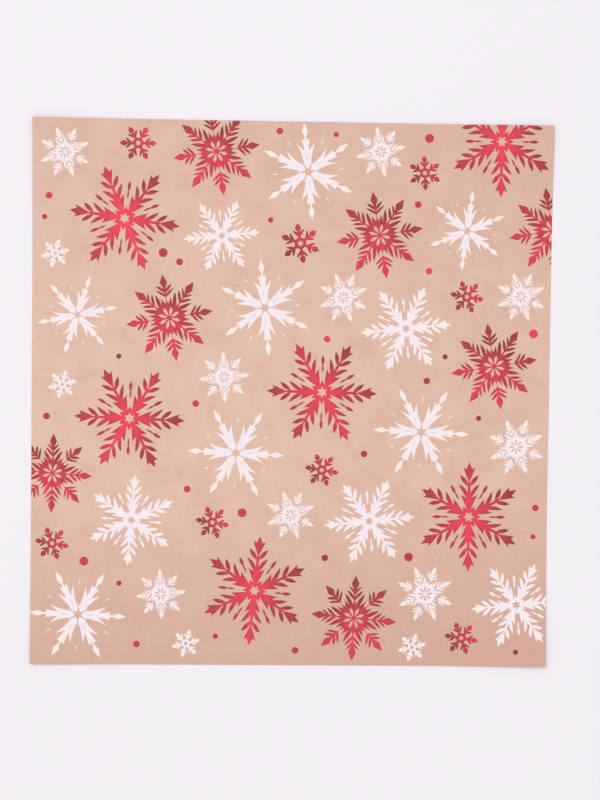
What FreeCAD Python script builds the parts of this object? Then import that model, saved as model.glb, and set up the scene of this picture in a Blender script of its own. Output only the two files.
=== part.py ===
import FreeCAD, Part
import math
import os
import Sketcher

# A flat sheet of kraft gift wrap, lying face up. Snowflakes in white and red ink and red dots are
# printed on its face, and each print is a thin closed film of ink. The origin is in the middle of
# the underside, X runs across the sheet, Y along it and Z up out of the printed face.

doc = FreeCAD.newDocument("wrapping_paper")
sizes = doc.addObject("Spreadsheet::Sheet", "sizes")

# ---------------------------------------------------------------- driving dimensions, in millimetres

SHEET_SIZES = {
    "sheet_width": 700,
    "sheet_length": 735,
    "paper_thickness": 0.1,
    "ink_thickness": 0.02,
    # The size that the artwork was drawn for. Another sheet gets the same artwork, spread over it.
    "artwork_width": 700,
    "artwork_length": 735,
}

FLAKE_RADII = {
    "red_fern_radius": 74,
    "white_fern_radius": 61.5,
    "small_white_fern_radius": 51.5,
    "red_star_radius": 58.5,
    "small_red_star_radius": 53.5,
    "white_star_radius": 34.5,
    "large_white_star_radius": 39.5,
    "white_shard_radius": 65.5,
    "small_white_shard_radius": 54.5,
    "red_bud_radius": 22.5,
    "middle_red_bud_radius": 24,
    "large_red_bud_radius": 26.5,
    "white_bud_radius": 19,
}

DOT_DIAMETERS = {
    "large_dot_diameter": 12,
    "medium_dot_diameter": 9,
    "small_dot_diameter": 7,
}

# Where each flake's centre is, from the artwork's left and bottom edges, and the turn of its first
# arm from the X axis in degrees. Several run off the edge, where the sheet was cut.
#   node name, design, radius, from left, from bottom, turn
BESIDE_ANOTHER = (None, None)
FLAKES = [
    ("red_fern_flake_1", "fern", "red_fern_radius", 630, 712.5, 30),
    ("red_fern_flake_2", "fern", "red_fern_radius", 123, 602.5, 52),
    ("red_fern_flake_3", "fern", "red_fern_radius", 391, 371.5, 59),
    ("red_fern_flake_4", "fern", "red_fern_radius", 131.5, 333.5, 58),
    ("red_fern_flake_5", "fern", "red_fern_radius", 593, 204, 30),
    ("red_fern_flake_6", "fern", "red_fern_radius", 302.5, 101, 24.5),
    ("white_fern_flake_1", "fern", "small_white_fern_radius", 253.5, 581, 6),
    ("white_fern_flake_2", "fern", "white_fern_radius", 503.5, 459, 6),
    ("white_fern_flake_3", "fern", "white_fern_radius", 457.5, 197, 6),
    ("white_fern_flake_4", "fern", "white_fern_radius", 135, 195.5, 25.5),
    ("white_fern_flake_5", "fern", "white_fern_radius", 660, 84, 6),
    ("red_star_flake_1", "star", "red_star_radius", 245.5, 693.5, 10),
    ("red_star_flake_2", "star", "red_star_radius", 700.5, 593.5, 10),
    ("red_star_flake_3", "star", "red_star_radius", 466.5, 584.5, 10),
    ("red_star_flake_4", "star", "red_star_radius", 184, 469.5, 10),
    ("red_star_flake_5", "star", "red_star_radius", 624.5, 409, 10),
    ("red_star_flake_6", "star", "small_red_star_radius", 28.5, 258.5, 42),
    ("red_star_flake_7", "star", "red_star_radius", 438, 64.5, 41),
    ("white_star_flake_1", "star", "white_star_radius", 466.5, 696.5, 146.5),
    ("white_star_flake_2", "star", "white_star_radius", 43, 689.5, 155.5),
    ("white_star_flake_3", "star", "white_star_radius", 659.5, 504, 155.5),
    ("white_star_flake_4", "star", "white_star_radius", *BESIDE_ANOTHER, 155.5),
    ("white_star_flake_5", "star", "white_star_radius", 258.5, 390.5, 139.5),
    ("white_star_flake_6", "star", "large_white_star_radius", 656.5, 300, 158.5),
    ("white_star_flake_7", "star", "white_star_radius", 350.5, 204.5, 155),
    ("white_star_flake_8", "star", "large_white_star_radius", 535, 98.5, 158.5),
    ("white_star_flake_9", "star", "white_star_radius", 175.5, 95.5, 139.5),
    ("white_shard_flake_1", "shard", "white_shard_radius", 369, 668.5, 35.5),
    ("white_shard_flake_2", "shard", "small_white_shard_radius", 585, 592, 22.5),
    ("white_shard_flake_3", "shard", "white_shard_radius", 312.5, 484.5, 35.5),
    ("white_shard_flake_4", "shard", "small_white_shard_radius", 60.5, 472, 12),
    ("white_shard_flake_5", "shard", "white_shard_radius", 526.5, 319, 57.5),
    ("white_shard_flake_6", "shard", "white_shard_radius", 275.5, 288, 57.5),
    ("white_shard_flake_7", "shard", "white_shard_radius", 64, 67, 57.5),
    ("red_bud_flake_1", "bud", "middle_red_bud_radius", 140.5, 703, 0),
    ("red_bud_flake_2", "bud", "red_bud_radius", 526.5, 669, 33),
    ("red_bud_flake_3", "bud", "large_red_bud_radius", 359.5, 572, 39.5),
    ("red_bud_flake_4", "bud", "red_bud_radius", 586, 503, 50.5),
    ("red_bud_flake_5", "bud", "red_bud_radius", 392, 266, 50.5),
    ("red_bud_flake_6", "bud", "red_bud_radius", 244.5, 193.5, 50.5),
    ("red_bud_flake_7", "bud", "red_bud_radius", 28.5, 163.5, 50),
    ("red_bud_flake_8", "bud", "red_bud_radius", 585, 38, 50.5),
    ("white_bud_flake_1", "bud", "white_bud_radius", 30.5, 554.5, 14),
    ("white_bud_flake_2", "bud", "white_bud_radius", 41, 378.5, 14.5),
    ("white_bud_flake_3", "bud", "white_bud_radius", 210, 28.5, 14),
    ("white_bud_flake_4", "bud", "white_bud_radius", 518, 25, 14),
]

# A flake that has no place of its own stands beside another one and makes room as either grows.
#   node name: the flake it stands beside, the gap between their circles, the direction from it
BESIDE = {
    "white_star_flake_4": ("red_star_flake_3", 4.2, 240.4),
}

# Where the dots' centres are, from the artwork's left and bottom edges.
DOTS = {
    "large_red_dots": ("large_dot_diameter", [
        (532, 715.5), (175, 557), (677.5, 454), (284.5, 207), (511.5, 148.5), (71.5, 139.5),
    ]),
    "medium_red_dots": ("medium_dot_diameter", [
        (330, 722), (22, 631.5), (518, 626.5), (197, 545), (534, 537),
        (397, 443.5), (533, 388.5), (220.5, 354.5), (20, 335.5), (449, 288.5),
        (210, 238.5), (684, 217), (397.5, 146.5), (143.5, 27.5), (358.5, 20),
    ]),
    "small_red_dots": ("small_dot_diameter", [
        (406, 718.5), (319, 603), (16, 603), (557.5, 421.5), (116.5, 417),
        (604.5, 338.5), (681.5, 177.5), (119, 110), (250, 38.5), (659.5, 19.5),
    ]),
}

named_numbers = {**SHEET_SIZES, **FLAKE_RADII, **DOT_DIAMETERS}
for name, design, radius, from_left, from_bottom, turn in FLAKES:
    named_numbers[name + "_turn"] = turn
    if name not in BESIDE:
        named_numbers[name + "_left"] = from_left
        named_numbers[name + "_bottom"] = from_bottom
for name, (neighbour, gap, direction) in BESIDE.items():
    named_numbers[name + "_gap"] = gap
    named_numbers[name + "_direction"] = direction
for name, (diameter, places) in DOTS.items():
    for number, (from_left, from_bottom) in enumerate(places, 1):
        named_numbers["%s_%d_left" % (name, number)] = from_left
        named_numbers["%s_%d_bottom" % (name, number)] = from_bottom
for row, (alias, value) in enumerate(named_numbers.items(), 1):
    sizes.set("A%d" % row, alias)
    sizes.set("B%d" % row, str(value))
    sizes.setAlias("B%d" % row, alias)
doc.recompute()

# Prints keep their shape on a sheet of other proportions, so they grow by the smaller share.
WIDTH_SHARE = "sizes.sheet_width / sizes.artwork_width"
LENGTH_SHARE = "sizes.sheet_length / sizes.artwork_length"
PRINT_SCALE = "min(%s; %s)" % (WIDTH_SHARE, LENGTH_SHARE)
RADIUS_OF = {name: radius for name, design, radius, *place in FLAKES}

# ---------------------------------------------------------------- the four flake drawings
#
# A flake is drawn at a radius of 100, so its numbers are hundredths of its radius. An arm points
# along +X and is listed as one half, from the valley beside it out to its tip. A pair is a corner.
# A bend is a point that the edge passes through, as an arc, between the corners before and after.

DRAWN_RADIUS = 100


def bend(along, beside):
    return (along, beside, "bend")


def at(radius, degrees):
    """A corner given by its distance from the flake's centre and its angle from the arm."""
    return (radius * math.cos(math.radians(degrees)), radius * math.sin(math.radians(degrees)))


FERN_ARMS = 6
FERN_ARM = [
    at(22, 180 / FERN_ARMS), (14.5, 3.8),                                  # spike between arms
    bend(27, 9.2), (41.5, 15), bend(37.5, 9.5), (36, 4.8),                 # crown beside the stem
    bend(48, 13), (60, 19.5), bend(54.5, 10), (44.5, 2.6),                 # long leaf
    (57, 2.4), bend(65.5, 12.5), (76.5, 17), bend(71.5, 8), (61.5, 2),     # short leaf
    (66, 1.2), bend(77, 5.8), (91.5, 11), (88, 5.6), (101, 0),             # three-pointed head
]
FERN_EYE_TIP = 10.5
FERN_EYE_NOTCH = 5.5
FERN_SPEAR = [(36, 0), bend(43, 1.6), (50.5, 0.8), bend(59, 2.9), (67.5, 0)]

STAR_LEAN = 46.5          # angle from a barbed arm to the leafy arm beside it
STAR_BARBED_ARM = [
    (27.5, 13), bend(38, 11.6), (47.5, 11), bend(40, 7.8), (33.5, 3.5),    # spike between arms
    bend(38, 1.5), (48.5, 1), bend(56.5, 11.8), (66.5, 21.5), bend(61.5, 9.5), (56, 2.2),
    (59.5, 2.6), bend(67.5, 12.2), (76.5, 18.3), bend(72.5, 8.6), (66.5, 2.6),
    (73, 4), bend(78, 6.8), (83, 8.2), bend(91, 4.8), (101, 0),            # kite head
]
STAR_LEAFY_ARM = [
    bend(44, 19.2), (57, 22.5), bend(46.5, 12), (32.5, 3.4),               # long leaf
    bend(37, 1.8), (42, 1.6), bend(54, 12.6), (64.5, 18.5), bend(59, 9), (50, 1.6),
    (56.5, 1.8), bend(66, 9.8), (74, 15), bend(70.5, 8), (65, 3.4),
    (70, 4.2), bend(76, 7.2), (81.5, 8.8), bend(89, 5.2), (100, 0),
]
STAR_PETAL = [(4.5, 0), bend(12, 2.6), (19, 3.5), (26.5, 0)]

SHARD_ARMS = 6
SHARD_ARM = [
    (6.5, 0), (9, 3.6), (13.5, 6.6), (22, 11), (17, 7),                    # foot and its splinter
    bend(37, 11.2), (57.5, 18.5), bend(50, 11.5), (42, 4.6),               # long shard
    (55, 6), (67, 8.4), (64.5, 2.6),                                       # middle crystal
    (71, 1.4), bend(78, 4.2), (83.5, 6), (90, 3.6), (100, 0),              # kite head
]
SHARD_SLIT = [(16, 0), (26, 0.5), (39, 0)]
SHARD_DASH = [(63, 0), (66.5, 1.3), (75.5, 0)]

BUD_ARMS = 6
BUD_ARM = [
    at(29, 180 / BUD_ARMS), (28.5, 7.5), (35, 6.4),
    (43, 12.4), bend(53, 21), (63, 27.5), bend(68, 27), (68.5, 23), bend(63, 14.5), (58.5, 6.6),
    (63, 5.4), bend(70.5, 12.2), (79.5, 15), bend(91, 10.4), (102, 0),
]
BUD_EYE_TIP = 19
BUD_EYE_NOTCH = 9


def mirrored(points):
    return [(point[0], -point[1]) + tuple(point[2:]) for point in points]


def turned(points, degrees):
    cosine = math.cos(math.radians(degrees))
    sine = math.sin(math.radians(degrees))
    return [(cosine * point[0] - sine * point[1], sine * point[0] + cosine * point[1])
            + tuple(point[2:]) for point in points]


def whole_arm(half):
    """One arm's outline, up its right side to the tip and down its left side."""
    return mirrored(half) + half[-2::-1]


def joined_arms(arms):
    """One closed outline round arms given as (angle, half arm), anticlockwise."""
    outline = []
    for angle, half in arms:
        for point in turned(whole_arm(half), angle):
            if outline and math.dist(outline[-1][:2], point[:2]) < 1e-6:
                continue
            outline.append(point)
    if math.dist(outline[-1][:2], outline[0][:2]) < 1e-6:
        outline.pop()
    return outline


def lens(half):
    """A closed outline that is symmetrical about the X axis, from its half."""
    return half + mirrored(half[-2:0:-1])


def ring_of(outline, angles):
    return [turned(outline, angle) for angle in angles]


def evenly_spaced(count, first=0):
    return [first + 360 / count * index for index in range(count)]


def eye(count, tip_radius, notch_radius):
    """A star-shaped opening with a tip halfway between each pair of arms."""
    return [point for angle in evenly_spaced(count)
            for point in turned([(notch_radius, 0)], angle)
            + turned([(tip_radius, 0)], angle + 180 / count)]


def edges_of(outline):
    """The lines and arcs of a closed outline, which starts at a corner."""
    corner = passed = None
    edges = []
    for point in outline + outline[:1]:
        place = FreeCAD.Vector(point[0], point[1], 0)
        if len(point) == 3:
            passed = place
            continue
        if corner and passed:
            edges.append(Part.Arc(corner, passed, place))
        elif corner:
            edges.append(Part.LineSegment(corner, place))
        corner = place
        passed = None
    return edges


def fern_outlines():
    between = evenly_spaced(FERN_ARMS, 180 / FERN_ARMS)
    arms = [(angle, FERN_ARM) for angle in evenly_spaced(FERN_ARMS)]
    return [joined_arms(arms), eye(FERN_ARMS, FERN_EYE_TIP, FERN_EYE_NOTCH)] \
        + ring_of(lens(FERN_SPEAR), between)


def star_outlines():
    leafy_angles = [STAR_LEAN, 180 - STAR_LEAN, 180 + STAR_LEAN, 360 - STAR_LEAN]
    barbed_angles = [0, 90, 180, 270]
    arms = [(angle, STAR_BARBED_ARM) for angle in barbed_angles] \
        + [(angle, STAR_LEAFY_ARM) for angle in leafy_angles]
    arms.sort(key=lambda arm: arm[0])
    angles = [angle for angle, half in arms]
    petal_angles = [(here + there) / 2 for here, there in zip(angles, angles[1:] + [360])]
    return [joined_arms(arms)] + ring_of(lens(STAR_PETAL), petal_angles)


def shard_outlines():
    on_arms = evenly_spaced(SHARD_ARMS)
    between = evenly_spaced(SHARD_ARMS, 180 / SHARD_ARMS)
    return ring_of(lens(SHARD_ARM), on_arms) + ring_of(lens(SHARD_SLIT), on_arms) \
        + ring_of(lens(SHARD_DASH), between)


def bud_outlines():
    arms = [(angle, BUD_ARM) for angle in evenly_spaced(BUD_ARMS)]
    return [joined_arms(arms), eye(BUD_ARMS, BUD_EYE_TIP, BUD_EYE_NOTCH)]


def drawing(name, outlines):
    """A sketch that holds a flake's outlines, locked where they are drawn."""
    sketch = doc.addObject("Sketcher::SketchObject", name)
    for outline in outlines:
        sketch.addGeometry(edges_of(outline), False)
    sketch.addConstraint([Sketcher.Constraint("Block", edge) for edge in range(sketch.GeometryCount)])
    return sketch


DRAWINGS = {
    "fern": drawing("fern_drawing", fern_outlines()),
    "star": drawing("star_drawing", star_outlines()),
    "shard": drawing("shard_drawing", shard_outlines()),
    "bud": drawing("bud_drawing", bud_outlines()),
}

# ---------------------------------------------------------------- the sheet


def kraft_sheet():
    """The paper: a rectangle, centred on the origin, padded to its thickness."""
    body = doc.addObject("PartDesign::Body", "kraft_sheet")
    sketch = body.newObject("Sketcher::SketchObject", "sheet_outline")
    plane = next(item for item in body.Origin.OriginFeatures if item.Role == "XY_Plane")
    sketch.AttachmentSupport = [(plane, "")]
    sketch.MapMode = "FlatFace"
    half_width = SHEET_SIZES["sheet_width"] / 2
    half_length = SHEET_SIZES["sheet_length"] / 2
    corners = [FreeCAD.Vector(side * half_width, end * half_length, 0)
               for side, end in ((-1, -1), (1, -1), (1, 1), (-1, 1))]
    for here, there in zip(corners, corners[1:] + corners[:1]):
        sketch.addGeometry(Part.LineSegment(here, there), False)
    bottom, right, top, left = range(4)
    start, end, origin = 1, 2, (-1, 1)
    for side in range(4):
        sketch.addConstraint(Sketcher.Constraint("Coincident", side, end, (side + 1) % 4, start))
    for side in (bottom, top):
        sketch.addConstraint(Sketcher.Constraint("Horizontal", side))
    for side in (right, left):
        sketch.addConstraint(Sketcher.Constraint("Vertical", side))
    sketch.addConstraint(Sketcher.Constraint("Symmetric", bottom, start, top, start, *origin))
    width = sketch.addConstraint(
        Sketcher.Constraint("DistanceX", bottom, start, bottom, end, 2 * half_width))
    length = sketch.addConstraint(
        Sketcher.Constraint("DistanceY", right, start, right, end, 2 * half_length))
    sketch.setExpression("Constraints[%d]" % width, "sizes.sheet_width")
    sketch.setExpression("Constraints[%d]" % length, "sizes.sheet_length")
    pad = body.newObject("PartDesign::Pad", "sheet_pad")
    pad.Profile = sketch
    pad.setExpression("Length", "sizes.paper_thickness")
    body.Tip = pad
    return body


def printable_area():
    """The block that every print is cut to, as large as the sheet."""
    area = doc.addObject("Part::Box", "printable_area")
    area.setExpression("Length", "sizes.sheet_width")
    area.setExpression("Width", "sizes.sheet_length")
    area.setExpression("Height", "sizes.paper_thickness + 2 * sizes.ink_thickness")
    area.setExpression("Placement.Base.x", "-sizes.sheet_width / 2")
    area.setExpression("Placement.Base.y", "-sizes.sheet_length / 2")
    return area


# ---------------------------------------------------------------- the prints


def centre(name):
    """Two expressions, for a print's centre from the sheet's left and bottom edges."""
    if name not in BESIDE:
        return ("sizes.%s_left * %s" % (name, WIDTH_SHARE),
                "sizes.%s_bottom * %s" % (name, LENGTH_SHARE))
    neighbour = BESIDE[name][0]
    reach = "(sizes.%s + sizes.%s + sizes.%s_gap) * %s" % (
        RADIUS_OF[neighbour], RADIUS_OF[name], name, PRINT_SCALE)
    from_left, from_bottom = centre(neighbour)
    return ("%s + %s * cos(sizes.%s_direction)" % (from_left, reach, name),
            "%s + %s * sin(sizes.%s_direction)" % (from_bottom, reach, name))


def put_on_face(film, name):
    """Bind a film's place to the sheet's face and to its distances from the edges."""
    from_left, from_bottom = centre(name)
    film.setExpression("Placement.Base.x", from_left + " - sizes.sheet_width / 2")
    film.setExpression("Placement.Base.y", from_bottom + " - sizes.sheet_length / 2")
    film.setExpression("Placement.Base.z", "sizes.paper_thickness")


def flake_film(name, design, radius):
    """One printed flake: its drawing scaled to size, raised to the ink's thickness and placed."""
    scaled = doc.addObject("Part::Scale", name + "_outline")
    scaled.Base = DRAWINGS[design]
    scaled.Uniform = True
    scaled.setExpression("UniformScale", "sizes.%s / %d * %s" % (radius, DRAWN_RADIUS, PRINT_SCALE))
    film = doc.addObject("Part::Extrusion", name + "_film")
    film.Base = scaled
    film.DirMode = "Custom"
    film.Dir = FreeCAD.Vector(0, 0, 1)
    film.FaceMakerClass = "Part::FaceMakerBullseye"
    film.Solid = True
    film.setExpression("LengthFwd", "sizes.ink_thickness")
    film.setExpression("Placement.Rotation.Angle", "sizes.%s_turn" % name)
    put_on_face(film, name)
    return film


def cut_to_sheet(film, name):
    """The film itself, or what the sheet holds of one that runs off its edge."""
    if area.Shape.BoundBox.isInside(film.Shape.BoundBox):
        film.Label = name
        return film
    cut = doc.addObject("Part::Common", name)
    cut.Base = film
    cut.Tool = area
    return cut


def dots(name, diameter, places):
    """One size of dot: a round film at each place, as one group of separate solids."""
    films = []
    for number in range(1, len(places) + 1):
        film = doc.addObject("Part::Cylinder", "%s_%d" % (name, number))
        film.setExpression("Radius", "sizes.%s / 2 * %s" % (diameter, PRINT_SCALE))
        film.setExpression("Height", "sizes.ink_thickness")
        put_on_face(film, "%s_%d" % (name, number))
        films.append(film)
    group = doc.addObject("Part::Compound", name)
    group.Links = films
    return group


sheet = kraft_sheet()
area = printable_area()
nodes = [sheet]
films = {name: flake_film(name, design, radius) for name, design, radius, *place in FLAKES}
doc.recompute()
nodes += [cut_to_sheet(film, name) for name, film in films.items()]
nodes += [dots(name, diameter, places) for name, (diameter, places) in DOTS.items()]
doc.recompute()

# ---------------------------------------------------------------- check and write

for item in doc.Objects:
    if "Invalid" in item.State or "Error" in item.State:
        raise RuntimeError("%s did not recompute: %s" % (item.Label, item.State))
for node in nodes:
    if node.Shape.isNull() or not node.Shape.isValid() or not node.Shape.Solids:
        raise RuntimeError("%s is not a valid solid" % node.Label)

os.makedirs("parts", exist_ok=True)
for node in nodes:
    node.Shape.exportStep("parts/%s.step" % node.Label)
    print("%-24s %2d solids, %8.3f mm3" % (node.Label, len(node.Shape.Solids), node.Shape.Volume))
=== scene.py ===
import math

import bpy
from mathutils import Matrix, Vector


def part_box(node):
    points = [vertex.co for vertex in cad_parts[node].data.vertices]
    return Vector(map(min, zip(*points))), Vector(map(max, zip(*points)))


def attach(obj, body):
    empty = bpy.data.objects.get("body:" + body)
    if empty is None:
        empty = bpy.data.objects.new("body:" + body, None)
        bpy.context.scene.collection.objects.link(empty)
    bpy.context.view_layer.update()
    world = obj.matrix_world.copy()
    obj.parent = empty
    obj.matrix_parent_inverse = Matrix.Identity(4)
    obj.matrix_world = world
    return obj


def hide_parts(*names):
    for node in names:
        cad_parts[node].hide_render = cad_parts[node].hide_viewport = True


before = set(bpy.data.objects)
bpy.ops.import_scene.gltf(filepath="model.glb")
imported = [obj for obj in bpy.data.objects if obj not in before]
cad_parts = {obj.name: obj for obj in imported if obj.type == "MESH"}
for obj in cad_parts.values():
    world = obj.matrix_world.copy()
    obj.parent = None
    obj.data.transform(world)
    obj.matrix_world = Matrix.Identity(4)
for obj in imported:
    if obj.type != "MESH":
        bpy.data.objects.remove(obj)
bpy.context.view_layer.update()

bl_info = {
    "name": "Printed Kraft Gift Wrap",
    "version": (1, 0, 0),
    "blender": (4, 5, 0),
    "location": "View3D > Sidebar > Gift Wrap",
    "description": "Lays a sheet of kraft gift wrap printed with red and white snowflakes and red dots",
    "category": "Add Mesh",
}

SHEET = "kraft_sheet"
FLAKE_MAP = "flake"       # UV map of a flake, turned with its shading: middle at 0, longest tip at 1
ARM_MAP = "arms"          # the same, turned so that an arm points along U
DOT_TONE = "dot_tone"     # attribute of the dots: 0 printed dark, 1 printed bright
MERGE = 1e-7              # loose corners closer than this are one point
SMOOTH_BELOW = math.radians(40)    # faces that meet at less than this are shaded as one
ROW_DIGITS = 4            # dots that are level to so many decimals of a metre are one row


def screen(red, green, blue):
    """A colour as a display shows it, from 0 to 255, as the linear colour that Blender works in."""
    return tuple(((part / 255 + 0.055) / 1.055) ** 2.4 for part in (red, green, blue))


# ------------------------------------------------------------------ sizes and colours to change


class WRAP_PG_paper(bpy.types.PropertyGroup):
    """How the sheet lies and what colour its paper is"""

    cell: bpy.props.FloatProperty(
        name="Cell", description="Spacing of the sheet's mesh",
        default=0.005, min=0.002, unit="LENGTH")
    corner_lift: bpy.props.FloatProperty(
        name="Corner lift", description="How far the highest corner curls off the table",
        default=0.0045, min=0, max=0.009, unit="LENGTH")
    corner_reach: bpy.props.FloatProperty(
        name="Corner reach", description="How far a corner's curl runs in along the diagonal",
        default=0.15, min=0.05, unit="LENGTH")
    edge_lift: bpy.props.FloatProperty(
        name="Edge lift", description="How far the two ends keep the curl of the roll they came from",
        default=0.0008, min=0, unit="LENGTH")
    edge_reach: bpy.props.FloatProperty(
        name="Edge reach", description="How far an end's curl runs in",
        default=0.09, min=0.02, unit="LENGTH")
    wave: bpy.props.FloatProperty(
        name="Wave", description="Height of the slow waves across the sheet",
        default=0.0004, min=0, unit="LENGTH")
    light: bpy.props.FloatVectorProperty(
        name="Light kraft", description="Paper colour where the pulp is palest",
        subtype="COLOR", default=screen(231, 196, 178), min=0, max=1)
    rosy: bpy.props.FloatVectorProperty(
        name="Rosy kraft", description="Paper colour where the pulp is pinkest",
        subtype="COLOR", default=screen(226, 186, 169), min=0, max=1)
    # Painted shade: the darker kraft colour that the paper is drawn in towards its edges.
    shaded_kraft: bpy.props.FloatVectorProperty(
        name="Deep kraft", description="Paper colour towards the sheet's near edge",
        subtype="COLOR", default=screen(213, 170, 155), min=0, max=1)
    fibre: bpy.props.FloatVectorProperty(
        name="Fibre", description="Colour of the dark fibres and flecks",
        subtype="COLOR", default=screen(150, 108, 88), min=0, max=1)


class WRAP_PG_ink(bpy.types.PropertyGroup):
    """The inks' colours"""

    cell: bpy.props.FloatProperty(
        name="Cell", description="Spacing at which a print bends with the paper",
        default=0.008, min=0.003, unit="LENGTH")
    thin_leaf: bpy.props.FloatProperty(
        name="Thin leaf", description="How much darker red ink is in the leaves beside an arm",
        default=0.28, min=0, max=1)
    red_dark: bpy.props.FloatVectorProperty(
        name="Dark red", description="Red ink at the dark end of its shading",
        subtype="COLOR", default=screen(149, 64, 66), min=0, max=1)
    red_middle: bpy.props.FloatVectorProperty(
        name="Middle red", description="Red ink halfway through its shading",
        subtype="COLOR", default=screen(203, 67, 81), min=0, max=1)
    red_bright: bpy.props.FloatVectorProperty(
        name="Bright red", description="Red ink at the bright end of its shading",
        subtype="COLOR", default=screen(249, 77, 97), min=0, max=1)
    white_cool: bpy.props.FloatVectorProperty(
        name="Cool white", description="White ink in a flake's broad middle",
        subtype="COLOR", default=screen(241, 232, 240), min=0, max=1)
    white_warm: bpy.props.FloatVectorProperty(
        name="Warm white", description="White ink out towards a flake's tips",
        subtype="COLOR", default=screen(253, 231, 220), min=0, max=1)


class WRAP_PG_stage(bpy.types.PropertyGroup):
    """Camera, lights and table"""

    camera_place: bpy.props.FloatVectorProperty(
        name="Camera place", description="Where the camera stands above the sheet",
        subtype="TRANSLATION", default=(-0.0242, 0.0315, 1.5033))
    camera_turn: bpy.props.FloatVectorProperty(
        name="Camera turn", description="The camera's turn from looking straight down",
        subtype="EULER", default=[math.radians(turn) for turn in (-1.473, -1.338, 0.663)])
    lens: bpy.props.FloatProperty(
        name="Lens", description="Focal length in millimetres", default=50, min=10)
    lamp_place: bpy.props.FloatVectorProperty(
        name="Lamp place", description="Middle of the soft lamp",
        subtype="TRANSLATION", default=(-9.6, 9.0, 14.4))
    lamp_side: bpy.props.FloatProperty(
        name="Lamp side", description="Side of the square soft lamp", default=7.5, min=0.1, unit="LENGTH")
    lamp_power: bpy.props.FloatProperty(
        name="Lamp power", description="The lamp's power in watts", default=1220, min=0)
    sky: bpy.props.FloatProperty(
        name="Room light", description="Strength of the even light from all round", default=0.8, min=0)
    table_side: bpy.props.FloatProperty(
        name="Table side", description="Side of the table top", default=12, min=2, unit="LENGTH")
    table: bpy.props.FloatVectorProperty(
        name="Table", description="Colour of the table top",
        subtype="COLOR", default=screen(241, 237, 242), min=0, max=1)


# ------------------------------------------------------------------ materials


class Value:
    """A number that changes over a surface. Python's operators add the Math nodes behind it"""

    def __init__(self, shader, socket):
        self.shader = shader
        self.socket = socket

    def math(self, operation, *others, clamp=False):
        """Add one Math node that works on this value and the others."""
        node = self.shader.tree.nodes.new("ShaderNodeMath")
        node.operation = operation
        node.use_clamp = clamp
        for place, term in zip(node.inputs, (self, *others)):
            self.shader.feed(place, term)
        return Value(self.shader, node.outputs[0])

    def __add__(self, other):
        return self.math("ADD", other)

    def __sub__(self, other):
        return self.math("SUBTRACT", other)

    def __mul__(self, other):
        return self.math("MULTIPLY", other)

    def __rsub__(self, other):
        return self.math("MULTIPLY_ADD", -1, other)

    __radd__ = __add__
    __rmul__ = __mul__

    def above_zero(self):
        return self.math("MAXIMUM", 0)

    def between(self, low, high):
        """0 at low, 1 at high and straight between them."""
        return self.math("MULTIPLY_ADD", 1 / (high - low), -low / (high - low), clamp=True)


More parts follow.
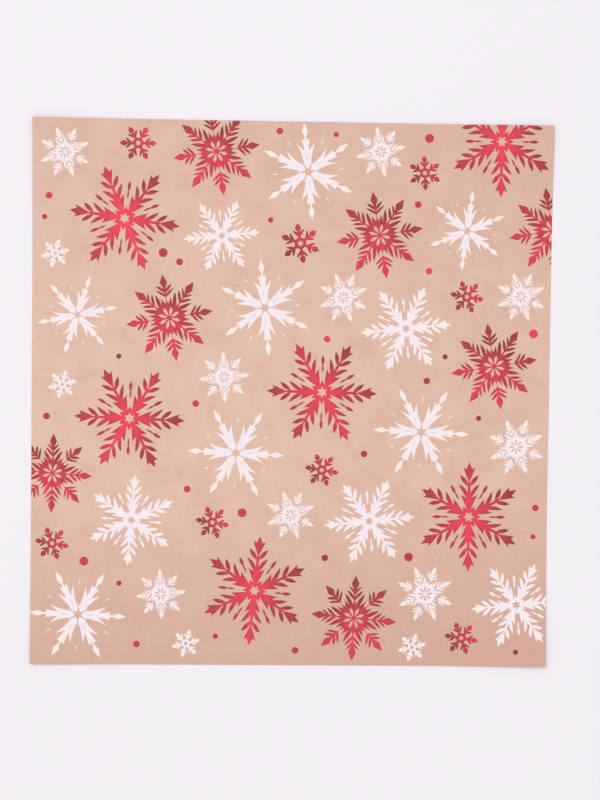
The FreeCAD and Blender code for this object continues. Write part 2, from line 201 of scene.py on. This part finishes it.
class Shader:
    """A material, and the ways that this file adds to its nodes"""

    def __init__(self, name):
        self.material = bpy.data.materials.new(name)
        self.material.use_nodes = True
        self.tree = self.material.node_tree
        self.surface = self.tree.nodes["Principled BSDF"]

    def feed(self, place, term):
        """Put a number, a colour, a Value or another node's socket into a socket."""
        term = getattr(term, "socket", term)
        if isinstance(term, bpy.types.NodeSocket):
            self.tree.links.new(term, place)
        elif place.type == "RGBA":
            place.default_value = (*term[:3], 1)
        else:
            place.default_value = term

    def node(self, kind, settings, inputs, output):
        """Add a node, set it up, fill its sockets and give back one of its outputs."""
        made = self.tree.nodes.new(kind)
        for name, setting in settings.items():
            if name == "stops":
                self.set_stops(made.color_ramp, setting)
            else:
                setattr(made, name, setting)
        for name, term in inputs.items():
            self.feed(next(s for s in made.inputs if s.enabled and s.name == name), term)
        return next(s for s in made.outputs if s.enabled and s.name == output)

    @staticmethod
    def set_stops(ramp, stops):
        """Give a colour ramp its stops, as pairs of a place and a colour."""
        while len(ramp.elements) < len(stops):
            ramp.elements.new(1)
        for element, (place, colour) in zip(ramp.elements, stops):
            element.position = place
            element.color = (*colour[:3], 1)

    def place(self):
        """Where a point is in the sheet's own frame, in metres."""
        return self.node("ShaderNodeTexCoord", {}, {}, "Object")

    def stretched(self, degrees, along, across):
        """The sheet's frame turned and stretched, so that a pattern runs along one direction."""
        turn = (0, 0, math.radians(degrees))
        return self.node("ShaderNodeMapping", {"vector_type": "POINT"},
                         {"Vector": self.turned(turn), "Scale": (1 / along, 1 / across, 1)}, "Vector")

    def turned(self, turn):
        """The sheet's frame turned about the sheet's middle."""
        return self.node("ShaderNodeMapping", {}, {"Vector": self.place(), "Rotation": turn}, "Vector")

    def noise(self, where, size, detail=2):
        """Soft noise from 0 to 1 whose patches are about one size across."""
        return Value(self, self.node("ShaderNodeTexNoise", {},
                                     {"Vector": where, "Scale": 1 / size, "Detail": detail}, "Fac"))

    def split(self, vector):
        """The X and Y parts of a vector."""
        return [Value(self, self.node("ShaderNodeSeparateXYZ", {}, {"Vector": vector}, axis))
                for axis in "XY"]

    def mix(self, share, first, second):
        """The first colour where the share is 0 and the second where it is 1."""
        return self.node("ShaderNodeMix", {"data_type": "RGBA"},
                         {"Factor": share, "A": first, "B": second}, "Result")

    def flake_place(self, flake_map=FLAKE_MAP):
        """How far a point is across and along its flake, as shares of the flake's radius."""
        return self.split(self.node("ShaderNodeUVMap", {"uv_map": flake_map}, {}, "UV"))

    def from_middle(self):
        """How far a point is from its flake's middle, as a share of the flake's radius."""
        across, along = self.flake_place()
        return (across * across + along * along).math("SQRT")

    def beside_arm(self, arms):
        """How far a point is from the middle line of the nearest arm, as a share of the radius."""
        across, along = self.flake_place(ARM_MAP)
        angle = along.math("ARCTAN2", across).math("PINGPONG", math.pi / arms)
        return self.from_middle() * angle.math("SINE")

    def bump(self, height, depth):
        """Raise the surface where height is 1 over where it is 0."""
        normal = self.node("ShaderNodeBump", {},
                           {"Height": height, "Distance": depth, "Strength": 1.0}, "Normal")
        self.feed(self.surface.inputs["Normal"], normal)

    def finish(self, **values):
        """Set the shader's own sockets, whose names are given with _ for a space."""
        for name, value in values.items():
            self.feed(self.surface.inputs[name.replace("_", " ")], value)
        return self.material


# What paper and ink show from close by. All but the last two are sizes in metres.
CLUMP = 0.0012            # clumps of pulp in the felt
FINE_FELT = 0.0004        # single fibre ends in the felt
PATCH = 0.045             # paler and pinker patches of pulp
FIBRE_LENGTH = 0.009
FIBRE_WIDTH = 0.0008
INK_CLOUD = 0.014         # cooler and warmer clouds in white ink
PAPER_RELIEF = 0.00006    # depth of the bare paper's grain
INK_RELIEF = 0.00003      # depth of the grain that shows through an ink
FIBRE_EDGE = 0.06         # how much the noise rises from a fibre's outline to its full colour
HARD_EDGE = 0.001         # a rise so short that a cell either has its fleck or has none


def paper_grain(shader):
    """The fine felt of kraft pulp, from 0 to 1."""
    place = shader.place()
    return shader.noise(place, CLUMP, detail=3) * 0.6 + shader.noise(place, FINE_FELT) * 0.4


def fibres(shader, degrees, most):
    """Short fibres that lie one way: 1 on a fibre and 0 off it."""
    lie = shader.stretched(degrees, FIBRE_LENGTH, FIBRE_WIDTH)
    return shader.noise(lie, 1.0, detail=1).between(most, most + FIBRE_EDGE)


def flecks(shader, spacing, radius, share):
    """Round flecks of bark: 1 on a fleck and 0 off it. A share of the pattern's cells has one."""
    flat = {"voronoi_dimensions": "2D"}
    inputs = {"Vector": shader.place(), "Scale": 1 / spacing}
    distance = Value(shader, shader.node("ShaderNodeTexVoronoi", flat, inputs, "Distance"))
    chance = shader.split(shader.node("ShaderNodeTexVoronoi", flat, inputs, "Color"))[0]
    reach = radius / spacing
    limit = 1 - share
    return (1 - distance.between(0.5 * reach, reach)) * chance.between(limit, limit + HARD_EDGE)


def painted_edge_shade(shader):
    """How much painted shade darkens the paper: most at the near end, a little at the far end and the
    right side."""
    across, along = shader.split(shader.place())
    edge = 0.37
    near_end = (0 - along).between(0.12, edge)
    far_end = along.between(0.08, edge)
    right_side = across.between(-0.1, edge)
    return near_end * 0.75 + far_end * 0.25 + right_side * 0.24


def bark_flecks(shader):
    """Sparse large flecks and fainter small ones, from 0 to 1."""
    large = flecks(shader, spacing=0.016, radius=0.0006, share=0.12)
    small = flecks(shader, spacing=0.007, radius=0.00035, share=0.25)
    return (large * 0.7 + small * 0.4).between(0, 1)


def kraft_paper(paper):
    """Uncoated kraft: blotchy pulp, fibres lying every way, a few dark flecks, painted shade at the
    edges.
    """
    shader = Shader("kraft_paper")
    rosy = shader.noise(shader.place(), PATCH, detail=3).between(0.38, 0.66)
    colour = shader.mix(rosy, paper.light, paper.rosy)
    # Painted shade: the paper is drawn darker towards its near end, a little towards the far end and the
    # right side.
    colour = shader.mix(painted_edge_shade(shader), colour, paper.shaded_kraft)
    grain = paper_grain(shader)
    colour = shader.mix(grain.between(0.3, 0.75) * 0.17, colour, paper.fibre)
    lying = fibres(shader, 12, 0.66) + fibres(shader, 78, 0.67) + fibres(shader, 141, 0.67)
    colour = shader.mix(lying.between(0, 1) * 0.22, colour, paper.fibre)
    colour = shader.mix(bark_flecks(shader), colour, paper.fibre)
    shader.bump(grain + lying * 0.25, PAPER_RELIEF)
    return shader.finish(Base_Color=colour, Roughness=0.72 + grain * 0.16, Specular_IOR_Level=0.25)


def fern_tone(shader):
    """Brightest in the middle, then down the near and far arms, and darkest out to the right."""
    across, along = shader.flake_place()
    right, left, far, near = 0.89, 0.65, 0.53, 0.28
    fall = across.above_zero() * right + (0 - across).above_zero() * left
    fall = fall + along.above_zero() * far + (0 - along).above_zero() * near
    middle, depth = 0.93, 0.88
    return middle - fall * depth


def star_tone(shader):
    """Dark on the far side, bright on the near side, and brighter in the middle than at the tips."""
    across, along = shader.flake_place()
    lean = math.radians(72)    # towards the dark side
    near = across * -math.cos(lean) + along * -math.sin(lean)
    side = near.between(-0.5, 0.5)
    middle, to_tips, to_side, past_side = 0.62, 0.24, 0.42, 0.06
    return middle - shader.from_middle() * to_tips + (side - 0.5) * to_side + near * past_side


def bud_tone(shader):
    """Shaded evenly from dark at the lower left to bright at the upper right."""
    across, along = shader.flake_place()
    lean = math.radians(25)    # towards the bright side
    middle, to_tips, rise = 0.50, 0.10, 0.38
    slope = across * (rise * math.cos(lean)) + along * (rise * math.sin(lean))
    return middle - shader.from_middle() * to_tips + slope


def dot_tone(shader):
    """Each dot is printed in one shade."""
    return Value(shader, shader.node("ShaderNodeAttribute", {"attribute_name": DOT_TONE}, {}, "Fac"))


# Where a flake's arm gives way to its leaves, as shares of the radius from the arm's middle line.
ARM_SIDE = 0.03
FULL_LEAF = 0.11


def red_ink(name, tone_rule, ink, arms=0):
    """Satin red ink with a metallic lustre. It is shaded over each print by a rule, and browner
    where it runs thin in the leaves beside a flake's arms."""
    shader = Shader(name)
    grain = paper_grain(shader)
    tone = tone_rule(shader) + (grain - 0.5) * 0.10
    if arms:
        tone = tone - shader.beside_arm(arms).between(ARM_SIDE, FULL_LEAF) * ink.thin_leaf
    stops = [(0, ink.red_dark), (0.5, ink.red_middle), (1, ink.red_bright)]
    colour = shader.node("ShaderNodeValToRGB", {"stops": stops}, {"Fac": tone}, "Color")
    shader.bump(grain, INK_RELIEF)
    return shader.finish(Base_Color=colour, Metallic=0.35, Roughness=0.34 + grain * 0.12,
                         Specular_IOR_Level=0.3)


def white_ink(name, paper, ink):
    """Opaque white ink, cool where it lies broad and warmer where it runs thin at the tips."""
    shader = Shader(name)
    cloud = shader.noise(shader.place(), INK_CLOUD)
    warmth = (shader.from_middle() * 0.7 + (cloud - 0.5) * 1.6).between(0.0, 1.0)
    colour = shader.mix(warmth, ink.white_cool, ink.white_warm)
    grain = paper_grain(shader)
    colour = shader.mix(grain.between(0.55, 0.95) * 0.16, colour, paper.light)
    shader.bump(grain, INK_RELIEF)
    return shader.finish(Base_Color=colour, Roughness=0.5 + grain * 0.15, Specular_IOR_Level=0.3)


def table_top(stage):
    """A plain matt table top."""
    shader = Shader("table_top")
    return shader.finish(Base_Color=stage.table, Roughness=0.9, Specular_IOR_Level=0.1)


# ------------------------------------------------------------------ how the sheet lies

# How much of the corner lift each corner has, by its side and its end of the sheet.
CORNER_SHARES = {(-1, 1): 0.80, (1, 1): 0.65, (1, -1): 1.0, (-1, -1): 0.6}
# The slow waves: length along the sheet, phase, share of the wave height.
WAVES_ALONG = [(0.31, 0.8, 0.6), (0.17, 2.1, 0.25)]
WAVES_ACROSS = [(0.43, 1.9, 0.15)]


def curl(distance, reach):
    """A bend that is flat at its reach from an edge and highest, at 1, on the edge itself."""
    return max(0.0, 1 - distance / reach) ** 2


def swell(place, waves):
    """Slow waves along one direction, never below 0."""
    return sum(share * (1 + math.sin(2 * math.pi * place / length + phase)) / 2
               for length, phase, share in waves)


def lie_of_sheet(paper):
    """A function that gives the height of the sheet's underside over the table at any place."""
    low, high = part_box(SHEET)
    lift, reach = paper.corner_lift, paper.corner_reach
    edge_lift, edge_reach, wave = paper.edge_lift, paper.edge_reach, paper.wave

    def height(x, y):
        from_sides = {-1: x - low.x, 1: high.x - x}
        from_ends = {-1: y - low.y, 1: high.y - y}
        corners = sum(share * curl((from_sides[side] + from_ends[end]) / math.sqrt(2), reach)
                      for (side, end), share in CORNER_SHARES.items())
        ends = curl(from_ends[-1], edge_reach) + curl(from_ends[1], edge_reach)
        waves = swell(y, WAVES_ALONG) + swell(x, WAVES_ACROSS)
        return lift * corners + edge_lift * ends + wave * waves

    return height


# ------------------------------------------------------------------ modelling


def deselect():
    bpy.ops.object.select_all(action="DESELECT")


def make_active(piece):
    deselect()
    piece.select_set(True)
    bpy.context.view_layer.objects.active = piece


def finish_piece(piece, material, slot, *nodes):
    """Give a finished piece its material and its place among the bodies."""
    piece.data.materials.clear()
    piece.data.materials.append(material)
    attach(piece, "root")
    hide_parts(*nodes)


def grid_lines(low, high, cell):
    """The lines of a square grid that pass between two places."""
    return [cell * number for number in range(math.ceil(low / cell), math.floor(high / cell) + 1)]


def merged_copy(node):
    """A copy of a node's mesh as one closed skin, under its own name."""
    piece = bpy.data.objects.new("print_" + node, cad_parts[node].data.copy())
    bpy.context.collection.objects.link(piece)
    make_active(piece)
    bpy.ops.mesh.customdata_custom_splitnormals_clear()
    bpy.ops.object.mode_set(mode="EDIT")
    bpy.ops.mesh.select_all(action="SELECT")
    bpy.ops.mesh.remove_doubles(threshold=MERGE)
    bpy.ops.object.mode_set(mode="OBJECT")
    return piece


def cut_into_cells(piece, node, cell):
    """Cut a print along a square grid, so that it can bend with the paper."""
    low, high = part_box(node)
    bpy.ops.object.mode_set(mode="EDIT")
    for axis in (0, 1):
        for line in grid_lines(low[axis], high[axis], cell):
            place = [0, 0, 0]
            facing = [0, 0, 0]
            place[axis] = line
            facing[axis] = 1
            bpy.ops.mesh.select_all(action="SELECT")
            bpy.ops.mesh.bisect(plane_co=place, plane_no=facing)
    bpy.ops.object.mode_set(mode="OBJECT")


def lay_on_sheet(piece, height):
    """Lift a flat print by the height of the sheet under each of its points."""
    for point in piece.data.vertices:
        point.co.z += height(point.co.x, point.co.y)
    piece.data.update()
    bpy.ops.object.shade_smooth_by_angle(angle=SMOOTH_BELOW)


def printed_film(context, node):
    """One print as a film that follows the sheet."""
    scene = context.scene
    piece = merged_copy(node)
    cut_into_cells(piece, node, scene.wrap_ink.cell)
    lay_on_sheet(piece, lie_of_sheet(scene.wrap_paper))
    return piece


# Flakes that run off the edge of the sheet, and a whole one with the same outline and turn.
WHOLE_TWINS = {
    "red_fern_flake_1": "red_fern_flake_5",
    "red_star_flake_1": "red_star_flake_3",
    "red_star_flake_2": "red_star_flake_3",
    "red_star_flake_6": "red_star_flake_7",
    "white_fern_flake_5": "white_fern_flake_2",
    "white_shard_flake_7": "white_shard_flake_6",
}
# How far each flake's shading is turned, in degrees. The others' shading isn't turned.
SHADING_TURNS = {
    "red_fern_flake_2": 22,
    "red_fern_flake_3": 29,
    "red_fern_flake_4": -32,
    "red_fern_flake_6": -6,
    "red_star_flake_6": 32,
    "red_star_flake_7": 31,
}


def flake_middle(node):
    """The middle of a flake, which may be near or past the edge that cuts it."""
    sheet_low, sheet_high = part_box(SHEET)
    low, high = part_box(node)
    twin_low, twin_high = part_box(WHOLE_TWINS.get(node, node))
    middle = []
    for axis in (0, 1):
        half = (twin_high[axis] - twin_low[axis]) / 2
        if high[axis] > sheet_high[axis] - MERGE:
            middle.append(low[axis] + half)
        elif low[axis] < sheet_low[axis] + MERGE:
            middle.append(high[axis] - half)
        else:
            middle.append((low[axis] + high[axis]) / 2)
    return middle


def map_flake(piece, node):
    """Give a flake its two UV maps, one turned with its shading and one with its arms."""
    middle_x, middle_y = flake_middle(node)
    points = [(point.co.x - middle_x, point.co.y - middle_y) for point in piece.data.vertices]
    tip_x, tip_y = max(points, key=lambda point: math.hypot(*point))
    turns = {FLAKE_MAP: math.radians(SHADING_TURNS.get(node, 0)), ARM_MAP: math.atan2(tip_y, tip_x)}
    for name, turn in turns.items():
        flake_map = piece.data.uv_layers.new(name=name)
        cosine = math.cos(turn) / math.hypot(tip_x, tip_y)
        sine = math.sin(turn) / math.hypot(tip_x, tip_y)
        for loop in piece.data.loops:
            x, y = points[loop.vertex_index]
            flake_map.data[loop.index].uv = (cosine * x + sine * y, cosine * y - sine * x)


def print_flakes(context, kind, material, slot):
    """Print every flake whose node's name starts with one kind."""
    for node in sorted(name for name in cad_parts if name.startswith(kind + "_flake_")):
        piece = printed_film(context, node)
        map_flake(piece, node)
        finish_piece(piece, material, slot, node)


# The four shades of red that dots are printed in, on the scale of DOT_TONE, and each dot's shade,
# going from the far edge of the sheet to the near one.
DARK, DEEP, MIDDLE, BRIGHT = 0.05, 0.3, 0.52, 0.78
DOT_TONES = {
    "large_red_dots": [MIDDLE, DEEP, BRIGHT, MIDDLE, DEEP, MIDDLE],
    "medium_red_dots": [MIDDLE, MIDDLE, MIDDLE, DEEP, BRIGHT, BRIGHT, DEEP, MIDDLE, DEEP, DEEP,
                        MIDDLE, MIDDLE, DARK, MIDDLE, DEEP],
    "small_red_dots": [MIDDLE, DEEP, DEEP, DARK, DARK, DARK, MIDDLE, DEEP, DEEP, DARK],
}


def separate_dots(mesh):
    """The numbers of each dot's points, dot by dot, from the far edge of the sheet to the near one."""
    leader = list(range(len(mesh.vertices)))

    def lead(number):
        while leader[number] != number:
            number = leader[number]
        return number

    for edge in mesh.edges:
        first, second = (lead(number) for number in edge.vertices)
        leader[max(first, second)] = min(first, second)
    dots = {}
    for number in range(len(leader)):
        dots.setdefault(lead(number), []).append(number)

    def far_to_near(dot):
        farthest = max(mesh.vertices[number].co.y for number in dot)
        leftmost = min(mesh.vertices[number].co.x for number in dot)
        return -round(farthest, ROW_DIGITS), leftmost

    return sorted(dots.values(), key=far_to_near)


def shade_dots(piece, tones):
    """Give every dot of a group its own tone."""
    tone = piece.data.attributes.new(DOT_TONE, "FLOAT", "POINT")
    dots = separate_dots(piece.data)
    if len(dots) != len(tones):
        raise RuntimeError("%s has %d dots and %d tones" % (piece.name, len(dots), len(tones)))
    for dot, value in zip(dots, tones):
        for number in dot:
            tone.data[number].value = value


# ------------------------------------------------------------------ operators


class WRAP_OT_red_ferns(bpy.types.Operator):
    """Print the large red flakes with leafy arms"""

    bl_idname = "wrap.red_ferns"
    bl_label = "Red ferns"

    def execute(self, context):
        material = red_ink("red_fern_ink", fern_tone, context.scene.wrap_ink, arms=6)
        print_flakes(context, "red_fern", material, "red_ink")
        return {"FINISHED"}


class WRAP_OT_red_stars(bpy.types.Operator):
    """Print the dense red flakes with eight arms"""

    bl_idname = "wrap.red_stars"
    bl_label = "Red stars"

    def execute(self, context):
        material = red_ink("red_star_ink", star_tone, context.scene.wrap_ink, arms=8)
        print_flakes(context, "red_star", material, "red_ink")
        return {"FINISHED"}


class WRAP_OT_red_buds(bpy.types.Operator):
    """Print the small red flakes"""

    bl_idname = "wrap.red_buds"
    bl_label = "Red buds"

    def execute(self, context):
        material = red_ink("red_bud_ink", bud_tone, context.scene.wrap_ink, arms=6)
        print_flakes(context, "red_bud", material, "red_ink")
        return {"FINISHED"}


class WRAP_OT_red_dots(bpy.types.Operator):
    """Print the red dots, each in its own shade"""

    bl_idname = "wrap.red_dots"
    bl_label = "Red dots"

    def execute(self, context):
        material = red_ink("red_dot_ink", dot_tone, context.scene.wrap_ink)
        for node, tones in DOT_TONES.items():
            piece = printed_film(context, node)
            shade_dots(piece, tones)
            finish_piece(piece, material, "red_ink", node)
        return {"FINISHED"}


class WRAP_OT_white_flakes(bpy.types.Operator):
    """Print the white flakes of all four designs"""

    bl_idname = "wrap.white_flakes"
    bl_label = "White flakes"

    def execute(self, context):
        scene = context.scene
        material = white_ink("white_print_ink", scene.wrap_paper, scene.wrap_ink)
        for kind in ("white_fern", "white_star", "white_shard", "white_bud"):
            print_flakes(context, kind, material, "white_ink")
        return {"FINISHED"}


class WRAP_OT_kraft_sheet(bpy.types.Operator):
    """Lay the sheet of kraft paper under its prints, with its corners a little lifted"""

    bl_idname = "wrap.kraft_sheet"
    bl_label = "Kraft sheet"

    def execute(self, context):
        paper = context.scene.wrap_paper
        low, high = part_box(SHEET)
        width, length, thickness = high - low
        deselect()
        bpy.ops.mesh.primitive_grid_add(x_subdivisions=round(width / paper.cell),
                                        y_subdivisions=round(length / paper.cell), size=1)
        sheet = context.object
        sheet.name = "kraft_paper_sheet"
        sheet.scale = (width, length, 1)
        bpy.ops.object.transform_apply(scale=True)
        height = lie_of_sheet(paper)
        for point in sheet.data.vertices:
            point.co.z = height(point.co.x, point.co.y)
        solidify = sheet.modifiers.new("thickness", "SOLIDIFY")
        solidify.thickness = thickness
        solidify.offset = 1
        bpy.ops.object.modifier_apply(modifier=solidify.name)
        bpy.ops.object.shade_smooth_by_angle(angle=SMOOTH_BELOW)
        finish_piece(sheet, kraft_paper(paper), "kraft_paper", SHEET)
        return {"FINISHED"}


class WRAP_OT_stage(bpy.types.Operator):
    """Set the table, the soft light and the camera"""

    bl_idname = "wrap.stage"
    bl_label = "Stage"

    def execute(self, context):
        stage = context.scene.wrap_stage
        deselect()
        bpy.ops.mesh.primitive_plane_add(size=stage.table_side, location=(0, 0, 0))
        table = context.object
        table.name = "table"
        table.data.materials.append(table_top(stage))

        bpy.ops.object.light_add(type="AREA", location=stage.lamp_place)
        lamp = context.object
        lamp.data.size = stage.lamp_side
        lamp.data.energy = stage.lamp_power
        lamp.rotation_euler = lamp.location.to_track_quat("Z", "Y").to_euler()

        world = bpy.data.worlds.new("room")
        world.use_nodes = True
        world.node_tree.nodes["Background"].inputs["Color"].default_value = (1, 1, 1, 1)
        world.node_tree.nodes["Background"].inputs["Strength"].default_value = stage.sky
        context.scene.world = world
        context.scene.view_settings.view_transform = "Standard"

        bpy.ops.object.camera_add(location=stage.camera_place, rotation=stage.camera_turn)
        camera = context.object
        camera.data.lens = stage.lens
        context.scene.camera = camera
        return {"FINISHED"}


class WRAP_PT_panel(bpy.types.Panel):
    """The steps that make the sheet, and the sizes and colours that they use"""

    bl_idname = "WRAP_PT_panel"
    bl_label = "Gift Wrap"
    bl_space_type = "VIEW_3D"
    bl_region_type = "UI"
    bl_category = "Gift Wrap"

    def draw(self, context):
        for step in STEPS:
            self.layout.operator(step.bl_idname)
        for name, group in SETTINGS.items():
            box = self.layout.box()
            for setting in group.__annotations__:
                box.prop(getattr(context.scene, name), setting)


SETTINGS = {"wrap_paper": WRAP_PG_paper, "wrap_ink": WRAP_PG_ink, "wrap_stage": WRAP_PG_stage}
STEPS = (WRAP_OT_red_ferns, WRAP_OT_red_stars, WRAP_OT_red_buds, WRAP_OT_red_dots,
         WRAP_OT_white_flakes, WRAP_OT_kraft_sheet, WRAP_OT_stage)
CLASSES = (*SETTINGS.values(), *STEPS, WRAP_PT_panel)


def register():
    for made in CLASSES:
        bpy.utils.register_class(made)
    for name, group in SETTINGS.items():
        setattr(bpy.types.Scene, name, bpy.props.PointerProperty(type=group))


def unregister():
    for name in SETTINGS:
        delattr(bpy.types.Scene, name)
    for made in reversed(CLASSES):
        bpy.utils.unregister_class(made)


def main():
    register()
    bpy.ops.wrap.red_ferns()
    bpy.ops.wrap.red_stars()
    bpy.ops.wrap.red_buds()
    bpy.ops.wrap.red_dots()
    bpy.ops.wrap.white_flakes()
    bpy.ops.wrap.kraft_sheet()
    bpy.ops.wrap.stage()


if __name__ == "__main__":
    main()
